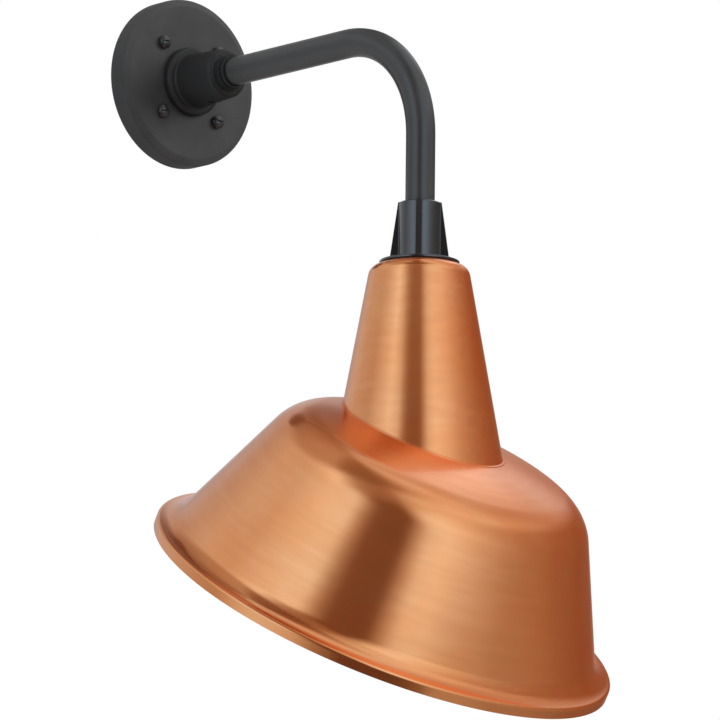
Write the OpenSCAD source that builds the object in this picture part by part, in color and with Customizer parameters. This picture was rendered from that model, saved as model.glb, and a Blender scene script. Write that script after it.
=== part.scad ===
// Barn light: a round wall plate, a gooseneck arm and an angled copper shade that turns on it.
// Millimetres. The wall is the plane y = 0, the light stands out along -Y, and +Z is up.
// The origin is the centre of the wall plate's back, on the arm's axis.

/* [Wall plate] */
// Radius of the wall plate
plate_r = 64; // [60:0.5:75]
// Distance of the plate's face from the wall
plate_face = 18.5; // [17:0.5:24]
// Wall thickness of the cast plate
plate_wall = 3; // [2:0.25:4]
// Width of the bevel round the face, measured along the radius
bevel_w = 5.5; // [3:0.5:8]
// Depth of the bevel, measured from the face
bevel_d = 2.5; // [1:0.5:4]
// Thickness of the gasket between plate and wall
gasket_t = 1.5; // [1:0.25:2.5]
// Radial width of that gasket
gasket_w = 4; // [3:0.5:6]
// Distance of each plate screw from both centre lines
screw_offset = 26.8; // [24:0.2:30]

/* [Mounting ring] */
// Thickness of the steel ring that is bolted to the wall box
ring_t = 1.6; // [1.2:0.1:2.5]
// Radius of the wiring hole in the ring
ring_hole_r = 17; // [16.5:0.5:19]
// Distance between the centres of the two box slots
slot_spacing = 79.4; // [70:0.2:90]
// Length of each box slot, end to end
slot_length = 14.2; // [10:0.2:18]
// Half the width of each box slot
slot_r = 2.3; // [2:0.1:2.8]
// Outer radius of the tapped bosses for the plate screws
boss_r = 4.5; // [4:0.25:5.5]
// Distance of the ground screw below the centre
ground_drop = 30; // [26:1:40]

/* [Hub] */
// Radius of the bead where the hub meets the plate
bead_r = 26.2; // [24:0.2:28]
// Height of that bead
bead_h = 6.5; // [5:0.5:8]
// Radius of the hub's barrel at its foot
barrel_foot_r = 20.4; // [19:0.2:22]
// Radius of the hub's barrel at its nose
barrel_nose_r = 18.8; // [18:0.2:19]
// Length of the barrel
barrel_len = 38.5; // [30:0.5:46]
// Radius that rounds the barrel's nose
nose_round = 4; // [2:0.5:5]
// Radius of the larger collar in front of the barrel
collar_r = 13.5; // [13:0.25:14.5]
// Radius of the smaller collar
lip_r = 12.3; // [11.75:0.1:12.8]
// Length of each collar
collar_len = 3.75; // [2.5:0.25:5]

/* [Arm] */
// Outer diameter of the arm tube
arm_od = 21.3; // [20:0.1:21.5]
// Bore of the arm tube
arm_id = 16.5; // [15.5:0.1:17]
// Centreline length from the wall to the start of the bend
arm_straight = 196.7; // [150:1:260]
// Centreline radius of the bend
bend_r = 80.8; // [60:1:110]
// Length of the stem below the bend
stem_len = 86.9; // [80:0.1:140]
// Distance of the tube's hidden end from the wall
tail_end = 8; // [7.5:0.25:9]
// Depth of the groove near the end of the stem
groove_d = 0.8; // [0.5:0.1:1.2]
// Width of that groove
groove_w = 6; // [5:0.5:8]
// Distance from the groove's middle to the end of the stem
groove_up = 15.7; // [12:0.5:18]

/* [Shade cap] */
// Radius of the cap's body
cap_r = 15.3; // [14.5:0.1:16]
// Length of the stem that the cap covers
cap_grip = 37.2; // [30:0.5:42]
// Thickness of the cap's floor under the end of the stem, flange included
cap_floor = 7.6; // [6:0.2:10]
// Radius of the cap's flange
flange_r = 29; // [27:0.5:31]
// Thickness of that flange
flange_t = 2; // [1.5:0.25:3]
// Thickness of the four ribs on the cap
rib_t = 4.6; // [3:0.2:6]
// How far a rib stands out at its foot, from the stem's axis
rib_foot = 21.6; // [19:0.2:24]
// How far a rib stands out at its top, from the stem's axis
rib_top = 15.7; // [15.5:0.1:17]
// Radius of the spigot that passes through the shade
spigot_r = 11; // [10.5:0.1:11.5]
// Length of the spigot below the flange gasket's foot
spigot_len = 19.6; // [18:0.2:24]
// Thickness of the gasket under the flange
cap_gasket_t = 0.8; // [0.5:0.1:1.5]

/* [Shade] */
// Thickness of the shade's copper sheet
sheet_t = 1; // [0.8:0.1:1.6]
// Radius that the neck's side would have at the seat
neck_r = 35.4; // [34:0.1:38]
// Half angle of the neck's cone
neck_angle = 10.3; // [8:0.1:12]
// Radius that rounds the neck's top edge
neck_round = 9.7; // [7:0.1:11]
// Angle between the stem's axis and the skirt's axis
shade_angle = 31.3; // [27:0.1:35]
// Distance below the seat at which the skirt's axis crosses the stem's
axis_cross = 184.2; // [180:0.2:192]
// Distance from that crossing back to the top of the crown
crown_rise = 61.5; // [60:0.1:64]
// Radius of the crown's shallow dome
crown_r = 420; // [360:10:600]
// Radius that rounds the shoulder between crown and flank
shoulder_r = 40; // [30:1:48]
// Angle of the flank to the skirt's axis
flank_angle = 24.4; // [20:0.1:28]
// Radius at the foot of the flank
foot_r = 161; // [158:0.5:164]
// Depth of the flank's foot below the crown
foot_depth = 122.5; // [119:0.5:124]
// Angle of the brim to the skirt's axis
brim_angle = 82; // [78:1:86]
// Share of the brim that is hollow; the rest rounds over to the rim band
hollow_share = 0.84; // [0.7:0.02:0.88]
// Radius of the rim
rim_r = 173.5; // [170:0.5:176]
// Depth of the whole skirt, from crown to rim
skirt_depth = 132; // [131:0.5:136]
// Height of the turned-in hem at the rim
hem_h = 4.5; // [3:0.5:5.5]
// Width of the neck's flange under the crown
seam_w = 5; // [3:0.5:6]

/* [Lamp holder] */
// Outer radius of the porcelain body
holder_r = 20.5; // [19:0.25:23]
// Outer radius of the boss over the spigot
holder_boss_r = 16; // [15:0.25:17]
// Height of the wiring chamber above the floor
chamber_h = 5.1; // [5:0.1:7]
// Radius of the wiring chamber
chamber_r = 13.5; // [13:0.25:14]
// Thickness of the porcelain floor
holder_floor = 3; // [2.5:0.25:4]
// Radius of the lamp holder's cavity
cavity_r = 15; // [14.8:0.1:16]
// Depth of the cavity
cavity_len = 33.6; // [32:0.2:36]
// Inner radius of the screw shell
shell_r = 13.6; // [13.4:0.1:14]
// Length of the screw shell
shell_len = 27; // [24:0.5:27.5]
// Distance of each terminal screw from the axis
terminal_x = 9.4; // [9:0.1:10]

/* [Bulb] */
// Radius of the bulb's screw base
base_r = 13.05; // [12.8:0.05:13.1]
// Length of the screw base
base_len = 22.4; // [20:0.2:24]
// Radius of the bulb's globe
globe_r = 30; // [28:0.5:32]
// Half angle of the glass neck between base and globe
glass_angle = 20; // [17:0.5:24]
// Thickness of the glass
glass_t = 0.8; // [0.6:0.1:1.2]

/* [Wiring] */
// Radius of the cable in the arm
cable_r = 3.6; // [3:0.1:4]
// Radius of an insulated lead
lead_r = 1.1; // [0.9:0.05:1.2]
// Radius of a lead's bare conductor
wire_r = 0.6; // [0.4:0.05:0.7]
// Radius of each lead's bend out of the cable
lead_bend = 3; // [2.5:0.1:3.2]
// Reach of the two supply leads from the centre
supply_reach = 36; // [24:1:40]
// Length of bare conductor at a lead's end
strip_len = 8; // [5:0.5:10]

/* [Hidden] */
$fn = 72;

// Clearances
turn_gap = 0.05;    // radial gap between the stem and what turns or slides on it
fit_gap = 0.05;     // radial gap round a screw, a bush or a spigot in its hole
end_gap = 0.3;      // gap between pieces of different bodies, end to end
seam_gap = 0.1;     // gap between the neck and the skirt at their joint
boss_gap = 1;       // space between the bosses and the plate, taken up by the gasket
ring_gap = 1;       // space between the mounting ring and the wall gasket
spigot_gap = 0.4;   // space between the spigot's end and the cable chamber
wire_gap = 0.2;     // space between a bare wire's end and its terminal screw
dog_gap = 0.5;      // space between the stem and the cap screw's thread
cut = 1;            // how far a cutting shape runs past the face that it opens

// Arm and stem
arm_r = arm_od / 2;
bore_r = arm_r + turn_gap;
stem_out = arm_straight + bend_r;
mouth_lead = 0.25;
mouth_r = bore_r + mouth_lead;
groove_r = arm_r - groove_d;
floor_at = stem_len + end_gap;
seat_at = floor_at + cap_floor + cap_gasket_t;
barrel_at = plate_face + bead_h;
nose_at = barrel_at + barrel_len;
hub_end = nose_at + 2 * collar_len;
cap_height = cap_grip + cap_floor - flange_t;
rib_root = 2;
gasket_inset = 1.2;

// Plate
plate_inside = plate_face - plate_wall;
gasket_edge = 1.5;
gasket_out = plate_r - gasket_edge;
ring_r = gasket_out - gasket_w - ring_gap;
boss_end = plate_inside - boss_gap;
plate_screw_r = 2;
plate_screw_head_r = 5.1;
plate_screw_head_h = 5.2;
plate_screw_dome_h = 2.6;
plate_screw_tip = 1;
plate_slot_angles = [8, -5, 4, -10];
slot_w = 1.3;
slot_d = 1.3;
ground_head_r = 3.5;
ground_head_h = 2.2;
ground_tip = 0.2;
arm_nut_flats = 27;
tail_show = 2;

// Set screws
set_screw_r = 2.5;
set_screw_key_r = 1.45;
set_screw_key_d = 2.5;
hub_screw_sink = 0.6;
cap_screw_sink = 0.4;
dog_r = 2;
hub_screw_at = barrel_at + barrel_len / 2;
cap_screw_at = floor_at - end_gap - groove_up;

// Cables
cable_show = 1;
cable_start = tail_end - cable_show;
lead_from_axis = 1.8;
bush_r = arm_id / 2 - fit_gap;
bush_len = 6.5;
tail_bush_in = 1;
stem_bush_in = 0.5;
ground_bare = 4.2;
socket_bare = 1;
cable_hole_r = 6.5;
cap_bush_len = 12;

// Hardware under the seat, as depths below it
washer_t = 1.6;
washer_r = 17;
nut_t = 5.5;
nut_flats = 32;
nut_at = sheet_t + washer_t;
holder_at = nut_at + nut_t;
chamber_at = spigot_len + spigot_gap;
floor_top = chamber_at + chamber_h;
cavity_at = floor_top + holder_floor;
holder_end = cavity_at + cavity_len;
holder_slope = 3;
holder_chamfer = 1;
insulator_t = 2;
insulator_r = 12;
shell_at = cavity_at + insulator_t;
shell_t = 0.6;
contact_r = 4;
contact_t = 1.5;
shell_hole_r = 7;
rivet_r = 2;
socket_screw_r = 1.6;
socket_screw_at = (holder_at + chamber_at) / 2;
terminal_r = 1.4;
terminal_head_r = 2.6;
terminal_head_h = 2.1;
cable_end = spigot_len;

// Bulb, as depths below the seat
bulb_at = shell_at + contact_t + end_gap;
tip_r = 4.5;
tip_t = 1.2;
tip_glass_h = 2.5;
tip_glass_r = 5;
tip_glass_foot_r = 11;
base_t = 0.5;
base_hole_r = 10;
base_at = bulb_at + tip_t + tip_glass_h;
glass_at = base_at + base_len;
glass_face = 90 - glass_angle;
globe_at = glass_at + (globe_r - base_r * sin(glass_face)) / cos(glass_face);

// Directions and arcs in a section: x is the radius and y the depth below the top.
// An angle of 0 faces the top and 90 faces outwards.
arc_steps = 8;
function facing(a) = [sin(a), -cos(a)];
function arc(centre, r, from, to, first = 0) =
    [for (i = [first:arc_steps]) centre + r * facing(from + (to - from) * i / arc_steps)];
function backwards(points) = [for (i = [len(points) - 1:-1:0]) points[i]];

// Section of the skirt: crown, shoulder, flank, dip, brim, edge and rim band, all tangent
flank_face = 90 - flank_angle;
brim_face = 90 - brim_angle;
foot = [foot_r, foot_depth];
brim_flat = 0.2;
brim_bend = (rim_r - foot_r) / cos(brim_face) - brim_flat;
dip_r = brim_bend * hollow_share / tan((flank_face - brim_face) / 2);
edge_r = brim_bend * (1 - hollow_share) / tan((90 - brim_face) / 2);
crown_c = [0, crown_r];
crown_to_foot = facing(flank_face) * (foot - crown_c);
crown_end = flank_face - acos((crown_to_foot - shoulder_r) / (crown_r - shoulder_r));
shoulder_c = crown_c + (crown_r - shoulder_r) * facing(crown_end);
dip_c = foot + dip_r * (facing(flank_face) + facing(brim_face)) / (1 + cos(flank_face - brim_face));
edge_corner = [rim_r, foot_depth + (rim_r - foot_r) * tan(brim_face)];
under_run = 20;
edge_c = edge_corner - edge_r * (facing(brim_face) + facing(90)) / (1 + cos(90 - brim_face));
function skirt_line(inset) = concat(
    arc(crown_c, crown_r - inset, 0, crown_end),
    arc(shoulder_c, shoulder_r - inset, crown_end, flank_face, 1),
    arc(dip_c, -dip_r - inset, flank_face, brim_face),
    arc(edge_c, edge_r - inset, brim_face, 90));

// Section of the neck: a flat seat, a round shoulder and a cone
neck_face = 90 - neck_angle;
seat_r = neck_r - neck_round * tan(neck_face / 2);
neck_run = 12;
neck_len = axis_cross + neck_run;
function neck_line(inset) = concat(
    arc([seat_r, neck_round], neck_round - inset, 0, neck_face),
    [[neck_r + neck_len * tan(neck_angle) - inset / cos(neck_angle), neck_len]]);

// Colours
black = "#202124";
copper = "#b8734a";
steel = "#a9adb1";
brass = "#b9974f";
porcelain = "#ece8de";
rubber = "#2b2b2b";

// Places. Local +Z leads away from the wall here, and local +Y is up.
module out_from_wall(distance) {
    translate([0, -distance, 0]) rotate([90, 0, 0]) children();
}

// A place on the stem, below the bend. Local +Z leads down the stem, and local +Y leads from the wall.
module down_stem(distance) {
    translate([0, -stem_out, -bend_r - distance]) rotate([180, 0, 0]) children();
}

// A place below the shade's seat under the cap
module below_seat(depth = 0) {
    down_stem(seat_at + depth) children();
}

// The skirt's own place. Local +Z leads from the top of the crown to the opening.
module in_skirt() {
    below_seat(axis_cross) rotate([shade_angle, 0, 0]) translate([0, 0, -crown_rise]) children();
}

module ring(outer, inner, height) {
    difference() {
        cylinder(r = outer, h = height);
        translate([0, 0, -cut]) cylinder(r = inner, h = height + 2 * cut);
    }
}

module hex(flats, height) {
    cylinder(d = flats / cos(30), h = height, $fn = 6);
}

// A round bar along the arm's centreline, from near the wall to a point down the stem
module along_arm(r, from, to) {
    out_from_wall(from) cylinder(r = r, h = arm_straight - from);
    translate([0, -arm_straight, -bend_r]) rotate([90, 0, -90])
        rotate_extrude(angle = 90) translate([bend_r, 0]) circle(r = r);
    down_stem(0) cylinder(r = r, h = to);
}

module at_plate_screws() {
    places = [[1, 1], [-1, 1], [-1, -1], [1, -1]];
    for (i = [0:3])
        translate([places[i].x * screw_offset, places[i].y * screw_offset, 0])
            rotate([0, 0, plate_slot_angles[i]]) children();
}

// A lead that leaves a cable along +Z, bends outwards along +X and ends in bare conductor
module lead(reach, bare) {
    translate([lead_from_axis + lead_bend, 0, 0]) rotate([90, 0, 0]) rotate([0, 0, 90])
        rotate_extrude(angle = 90) translate([lead_bend, 0]) circle(r = lead_r);
    translate([lead_from_axis + lead_bend, 0, lead_bend]) rotate([0, 90, 0]) {
        cylinder(r = lead_r, h = reach - lead_from_axis - lead_bend);
        cylinder(r = wire_r, h = reach - lead_from_axis - lead_bend + bare);
    }
}

// The hexagonal socket for a key, in the end of a set screw at z = 0
module key_socket() {
    translate([0, 0, -set_screw_key_d])
        cylinder(r = set_screw_key_r, h = set_screw_key_d + cut, $fn = 6);
}

// A set screw along -Z, with its outer end at z = 0
module set_screw(length) {
    difference() {
        translate([0, 0, -length]) cylinder(r = set_screw_r, h = length);
        key_socket();
    }
}

module wall_gasket() {
    color(rubber) out_from_wall(0) ring(gasket_out, gasket_out - gasket_w, gasket_t);
}

module box_slot() {
    half = slot_length / 2 - slot_r;
    translate([-half, -slot_r, -cut]) cube([2 * half, 2 * slot_r, ring_t + 2 * cut]);
    for (side = [-1, 1])
        translate([side * half, 0, -cut]) cylinder(r = slot_r, h = ring_t + 2 * cut);
}

module mounting_ring() {
    color(steel) out_from_wall(0) difference() {
        union() {
            ring(ring_r, ring_hole_r, ring_t);
            at_plate_screws() cylinder(r = boss_r, h = boss_end);
        }
        for (side = [-1, 1])
            translate([side * slot_spacing / 2, 0, 0]) box_slot();
        at_plate_screws() translate([0, 0, -cut])
            cylinder(r = plate_screw_r + fit_gap, h = boss_end + 2 * cut);
        translate([0, -ground_drop, -cut]) cylinder(r = plate_screw_r + fit_gap, h = ring_t + 2 * cut);
    }
}

module wall_plate() {
    bevel_at = plate_face - bevel_d;
    color(black) out_from_wall(0) difference() {
        rotate_extrude() polygon([
            [mouth_r, plate_inside], [plate_r - bevel_w - plate_wall / 2, plate_inside],
            [plate_r - plate_wall, bevel_at - plate_wall / 2], [plate_r - plate_wall, gasket_t],
            [plate_r, gasket_t], [plate_r, bevel_at], [plate_r - bevel_w, plate_face],
            [mouth_r, plate_face]]);
        at_plate_screws() translate([0, 0, plate_inside - cut])
            cylinder(r = plate_screw_r + 2 * fit_gap, h = plate_wall + 2 * cut);
    }
}

module plate_screws() {
    dome_r = (plate_screw_head_r * plate_screw_head_r + plate_screw_dome_h * plate_screw_dome_h)
        / (2 * plate_screw_dome_h);
    color(black) out_from_wall(plate_face) at_plate_screws() difference() {
        union() {
            intersection() {
                translate([0, 0, plate_screw_head_h - dome_r]) sphere(r = dome_r);
                cylinder(r = plate_screw_head_r, h = plate_screw_head_h + cut);
            }
            translate([0, 0, plate_screw_tip - plate_face])
                cylinder(r = plate_screw_r, h = plate_face - plate_screw_tip + cut);
        }
        translate([-plate_screw_head_r - cut, -slot_w / 2, plate_screw_head_h - slot_d])
            cube([2 * (plate_screw_head_r + cut), slot_w, slot_d + cut]);
    }
}

module ground_screw() {
    color("#3f7a4a") out_from_wall(0) translate([0, -ground_drop, 0]) {
        translate([0, 0, ground_tip]) cylinder(r = plate_screw_r, h = ring_t);
        translate([0, 0, ring_t]) difference() {
            cylinder(r = ground_head_r, h = ground_head_h);
            translate([-ground_head_r - cut, -slot_w / 2, ground_head_h - slot_d / 2])
                cube([2 * (ground_head_r + cut), slot_w, slot_d]);
        }
    }
}

module hub() {
    nose_c = [barrel_nose_r - nose_round, nose_at - nose_round];
    nose = [for (i = [0:6]) nose_c + nose_round * [cos(15 * i), sin(15 * i)]];
    bead_c = [bead_r - bead_h / 2, plate_face + bead_h / 2];
    bead = [for (i = [0:6]) bead_c + bead_h / 2 * [cos(15 * i), sin(15 * i)]];
    color(black) difference() {
        out_from_wall(0) rotate_extrude() polygon(concat(
            [[bore_r, plate_face], [bead_r, plate_face]], bead, [[barrel_foot_r, barrel_at]], nose,
            [[collar_r, nose_at], [collar_r, nose_at + collar_len], [lip_r, nose_at + collar_len],
             [lip_r, hub_end], [mouth_r, hub_end], [bore_r, nose_at]]));
        out_from_wall(hub_screw_at) rotate([90, 0, 0])
            cylinder(r = set_screw_r + fit_gap, h = barrel_foot_r + cut);
    }
}

module hub_set_screw() {
    outer = barrel_nose_r - hub_screw_sink;
    color(steel) out_from_wall(hub_screw_at) rotate([90, 0, 0]) translate([0, 0, outer])
        set_screw(outer - arm_r - fit_gap);
}

module arm_tube() {
    color(black) difference() {
        along_arm(arm_r, tail_end, stem_len);
        along_arm(arm_id / 2, tail_end - cut, stem_len + cut);
        down_stem(stem_len - groove_up - groove_w / 2) ring(arm_r + cut, groove_r, groove_w);
    }
}

module arm_lock_nut() {
    height = plate_inside - tail_end - tail_show;
    color(steel) out_from_wall(plate_inside - height) difference() {
        hex(arm_nut_flats, height);
        translate([0, 0, -cut]) cylinder(r = bore_r, h = height + 2 * cut);
    }
}

module arm_bushings() {
    color(rubber) {
        out_from_wall(tail_end + tail_bush_in) ring(bush_r, cable_r + fit_gap, bush_len);
        down_stem(stem_len - bush_len - stem_bush_in) ring(bush_r, cable_r + fit_gap, bush_len);
    }
}

module arm_cable() {
    color("#d8d8d4") along_arm(cable_r, cable_start, floor_at);
}

module lead_black() {
    color("#18181a") out_from_wall(cable_start) rotate([180, 0, 30]) lead(supply_reach, strip_len);
}

module lead_white() {
    color("#e8e8e4") out_from_wall(cable_start) rotate([180, 0, 150]) lead(supply_reach, strip_len);
}

module lead_green() {
    reach = ground_drop - ground_head_r - end_gap - ground_bare;
    color("#3c8a4d") out_from_wall(cable_start) rotate([180, 0, 270]) lead(reach, ground_bare);
}

module cap_rib() {
    root = cap_r - rib_root;
    rotate([90, 0, 0]) translate([0, 0, -rib_t / 2]) linear_extrude(rib_t)
        polygon([[root, -cap_height], [rib_top, -cap_height], [rib_foot, 0], [root, 0]]);
}

module shade_cap() {
    chamfer = 1;
    color(black) difference() {
        union() {
            below_seat(-cap_gasket_t) rotate_extrude() polygon([
                [cable_hole_r, spigot_len + cap_gasket_t], [spigot_r, spigot_len + cap_gasket_t],
                [spigot_r, 0], [flange_r, 0], [flange_r, chamfer - flange_t],
                [flange_r - chamfer, -flange_t], [cap_r, -flange_t],
                [cap_r, chamfer - flange_t - cap_height], [cap_r - chamfer, -flange_t - cap_height],
                [cable_hole_r, -flange_t - cap_height]]);
            for (turn = [45:90:315])
                below_seat(-cap_gasket_t - flange_t) rotate([0, 0, turn]) cap_rib();
        }
        down_stem(floor_at - cap_grip - cut) cylinder(r = bore_r, h = cap_grip + cut);
        down_stem(cap_screw_at) rotate([90, 0, 0]) cylinder(r = set_screw_r + fit_gap, h = cap_r + cut);
    }
}

module cap_set_screw() {
    tip = groove_r + end_gap;
    outer = cap_r - cap_screw_sink;
    color(steel) down_stem(cap_screw_at) rotate([90, 0, 0]) translate([0, 0, outer]) difference() {
        union() {
            translate([0, 0, tip - outer]) cylinder(r = dog_r, h = outer - tip);
            translate([0, 0, bore_r + dog_gap - outer])
                cylinder(r = set_screw_r, h = outer - bore_r - dog_gap);
        }
        key_socket();
    }
}

module cap_gasket() {
    color(rubber) below_seat(-cap_gasket_t) ring(flange_r - gasket_inset, spigot_r + fit_gap, cap_gasket_t);
}

// Solid of the neck's cone, made wider or narrower by an offset
module neck_solid(inset) {
    rotate_extrude() polygon(concat([[0, inset]], neck_line(inset), [[0, neck_len]]));
}

// Everything under a line that lies inside the skirt's outer face
module under_skirt(inset) {
    in_skirt() rotate_extrude() polygon(concat(skirt_line(inset),
        [[rim_r - inset, skirt_depth + under_run], [0, skirt_depth + under_run]]));
}

module shade_neck() {
    seam_top = sheet_t + seam_gap;
    color(copper) difference() {
        union() {
            below_seat() neck_solid(0);
            intersection() {
                below_seat() neck_solid(-seam_w);
                under_skirt(seam_top);
            }
        }
        below_seat() neck_solid(sheet_t);
        under_skirt(seam_top + sheet_t);
        below_seat(-cut) cylinder(r = spigot_r + fit_gap, h = sheet_t + 2 * cut);
    }
}

module shade_skirt() {
    color(copper) difference() {
        in_skirt() rotate_extrude() polygon(concat(skirt_line(0),
            [[rim_r, skirt_depth], [rim_r - 2 * sheet_t, skirt_depth],
             [rim_r - 2 * sheet_t, skirt_depth - hem_h], [rim_r - sheet_t, skirt_depth - hem_h]],
            backwards(skirt_line(sheet_t))));
        below_seat() neck_solid(-seam_gap);
    }
}

module lock_washer() {
    color(steel) below_seat(sheet_t) ring(washer_r, spigot_r + fit_gap, washer_t);
}

module cap_lock_nut() {
    color(steel) below_seat(nut_at) difference() {
        hex(nut_flats, nut_t);
        translate([0, 0, -cut]) cylinder(r = spigot_r + fit_gap, h = nut_t + 2 * cut);
    }
}

module cap_bushing() {
    color(rubber) below_seat(spigot_len - cap_bush_len)
        ring(cable_hole_r - fit_gap, cable_r + fit_gap, cap_bush_len);
}

module socket_body() {
    color(porcelain) below_seat() difference() {
        rotate_extrude() polygon([
            [spigot_r + fit_gap, holder_at], [holder_boss_r, holder_at], [holder_boss_r, chamber_at],
            [holder_r, chamber_at + holder_slope], [holder_r, holder_end - holder_chamfer],
            [holder_r - holder_chamfer, holder_end],
            [cavity_r, holder_end], [cavity_r, cavity_at], [rivet_r + fit_gap, cavity_at],
            [rivet_r + fit_gap, floor_top], [chamber_r, floor_top], [chamber_r, chamber_at],
            [spigot_r + fit_gap, chamber_at]]);
        for (side = [-1, 1]) {
            translate([0, 0, socket_screw_at]) rotate([0, side * 90, 0])
                cylinder(r = socket_screw_r + fit_gap, h = holder_boss_r + cut);
            translate([side * terminal_x, 0, floor_top - cut])
                cylinder(r = terminal_r + fit_gap, h = holder_floor + 2 * cut);
        }
    }
}

module socket_screws() {
    head_r = 2.8;
    head_h = 1.8;
    tip = spigot_r + fit_gap;
    color(steel) below_seat(socket_screw_at) for (side = [-1, 1]) rotate([0, side * 90, 0]) {
        translate([0, 0, tip]) cylinder(r = socket_screw_r, h = holder_boss_r - tip);
        translate([0, 0, holder_boss_r]) cylinder(r = head_r, h = head_h);
    }
}

module terminal_screws() {
    color(brass) below_seat() for (side = [-1, 1]) translate([side * terminal_x, 0, 0]) {
        translate([0, 0, floor_top - terminal_head_h]) cylinder(r = terminal_head_r, h = terminal_head_h);
        translate([0, 0, floor_top]) cylinder(r = terminal_r, h = holder_floor);
    }
}

module contact_insulator() {
    color("#7a5a3a") below_seat(cavity_at) ring(insulator_r, rivet_r + fit_gap, insulator_t);
}

module center_contact() {
    color(brass) below_seat() {
        translate([0, 0, floor_top]) cylinder(r = rivet_r, h = shell_at - floor_top);
        translate([0, 0, shell_at]) cylinder(r = contact_r, h = contact_t);
    }
}

module screw_shell() {
    outer = shell_r + shell_t;
    color(brass) below_seat(shell_at) rotate_extrude() polygon([
        [shell_hole_r, 0], [outer, 0], [outer, shell_len], [shell_r, shell_len], [shell_r, shell_t],
        [shell_hole_r, shell_t]]);
}

module socket_cable() {
    color("#d8d8d4") down_stem(floor_at + end_gap)
        cylinder(r = cable_r, h = seat_at + cable_end - floor_at - end_gap);
}

module socket_lead(side) {
    reach = terminal_x - terminal_head_r - wire_gap - socket_bare;
    below_seat(cable_end) rotate([0, 0, side < 0 ? 180 : 0]) lead(reach, socket_bare);
}

module socket_lead_black() {
    color("#18181a") socket_lead(1);
}

module socket_lead_white() {
    color("#e8e8e4") socket_lead(-1);
}

module bulb_contact() {
    color(steel) below_seat(bulb_at) cylinder(r = tip_r, h = tip_t);
}

module bulb_insulator() {
    color("#1b1b22") below_seat(bulb_at + tip_t)
        cylinder(r1 = tip_glass_r, r2 = tip_glass_foot_r, h = tip_glass_h);
}

module bulb_base() {
    color(steel) below_seat(base_at) rotate_extrude() polygon([
        [base_hole_r, 0], [base_r, 0], [base_r, base_len], [base_r - base_t, base_len],
        [base_r - base_t, base_t], [base_hole_r, base_t]]);
}

module bulb_glass() {
    function glass_line(inset) = concat(
        [[base_r - inset, glass_at]], arc([0, globe_at], globe_r - inset, glass_face, 180));
    color("#f2efe6") below_seat() rotate_extrude() polygon(concat(
        glass_line(0), backwards(glass_line(glass_t))));
}

wall_gasket();
mounting_ring();
wall_plate();
plate_screws();
ground_screw();
hub();
hub_set_screw();
arm_tube();
arm_lock_nut();
arm_bushings();
arm_cable();
lead_black();
lead_white();
lead_green();
shade_cap();
cap_set_screw();
cap_gasket();
shade_neck();
shade_skirt();
lock_washer();
cap_lock_nut();
cap_bushing();
socket_body();
socket_screws();
terminal_screws();
contact_insulator();
center_contact();
screw_shell();
socket_cable();
socket_lead_black();
socket_lead_white();
bulb_contact();
bulb_insulator();
bulb_base();
bulb_glass();
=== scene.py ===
# %% [markdown]
# # A barn light with a copper shade
#
# This lesson dresses a wall light: a black wall plate, a black gooseneck arm, a ribbed cast cap and a bell
# of brushed copper. Its exact shapes come from a CAD model, which is loaded first and never moved. What is
# made here is the studio, the finishes, and the pieces that need softer edges or finer forms than the CAD
# solids have: castings with worn corners, the spun skirt, rolled threads, chamfered nuts and the ribbed cap.

# %% Load the CAD frame
import math

import bpy
from mathutils import Matrix, Vector


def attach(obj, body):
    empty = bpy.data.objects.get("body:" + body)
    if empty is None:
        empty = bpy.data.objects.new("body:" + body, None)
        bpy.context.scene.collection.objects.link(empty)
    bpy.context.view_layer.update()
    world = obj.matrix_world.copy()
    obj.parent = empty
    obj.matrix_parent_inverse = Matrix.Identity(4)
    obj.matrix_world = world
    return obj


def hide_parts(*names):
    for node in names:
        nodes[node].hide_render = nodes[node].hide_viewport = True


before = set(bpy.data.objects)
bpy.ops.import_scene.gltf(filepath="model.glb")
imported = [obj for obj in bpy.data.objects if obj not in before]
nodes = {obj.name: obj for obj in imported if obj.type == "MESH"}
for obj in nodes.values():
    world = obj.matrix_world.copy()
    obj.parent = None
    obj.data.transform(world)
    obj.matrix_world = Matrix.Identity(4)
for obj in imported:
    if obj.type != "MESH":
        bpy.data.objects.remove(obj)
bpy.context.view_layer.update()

# %% [markdown]
# ## The camera
#
# The photograph was taken with a long lens from a little below the light, turned about 42 degrees round it.
# The camera's place is given by the point that it looks at, two angles, a distance and a small roll, which is
# how a photographer would describe it. The three directions right, up and back make its rotation.

# %% Set up the camera
LOOK_AT = Vector((0.08513, -0.12, -0.21527))
TURN, RISE, ROLL = math.radians(-41.887), math.radians(-10.067), math.radians(0.702)
DISTANCE = 4.1863

back = Vector((math.sin(TURN) * math.cos(RISE), -math.cos(TURN) * math.cos(RISE), math.sin(RISE)))
level = Vector((math.cos(TURN), math.sin(TURN), 0))
right = math.cos(ROLL) * level + math.sin(ROLL) * back.cross(level)
up = back.cross(right)
rotation = Matrix((right, up, back)).transposed()

bpy.ops.object.camera_add(location=LOOK_AT + DISTANCE * back)
camera = bpy.context.object
camera.name = "camera"
camera.rotation_euler = rotation.to_euler()
camera.data.sensor_width = 36
camera.data.lens = 280
camera.data.clip_start, camera.data.clip_end = 0.1, 60
bpy.context.scene.camera = camera
bpy.context.scene.view_settings.view_transform = "Standard"
print("camera at", [round(x, 3) for x in camera.location])

# %% [markdown]
# ## Writing materials as sums
#
# A procedural material is a sum of noises, distances and masks, and a sum reads best as a sum. `Signal`
# wraps one output socket and turns +, -, * and / into Math nodes. `Bench` is the tree of one material: its
# `add` makes any node from a type, its settings and the values or links of its sockets.


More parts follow.
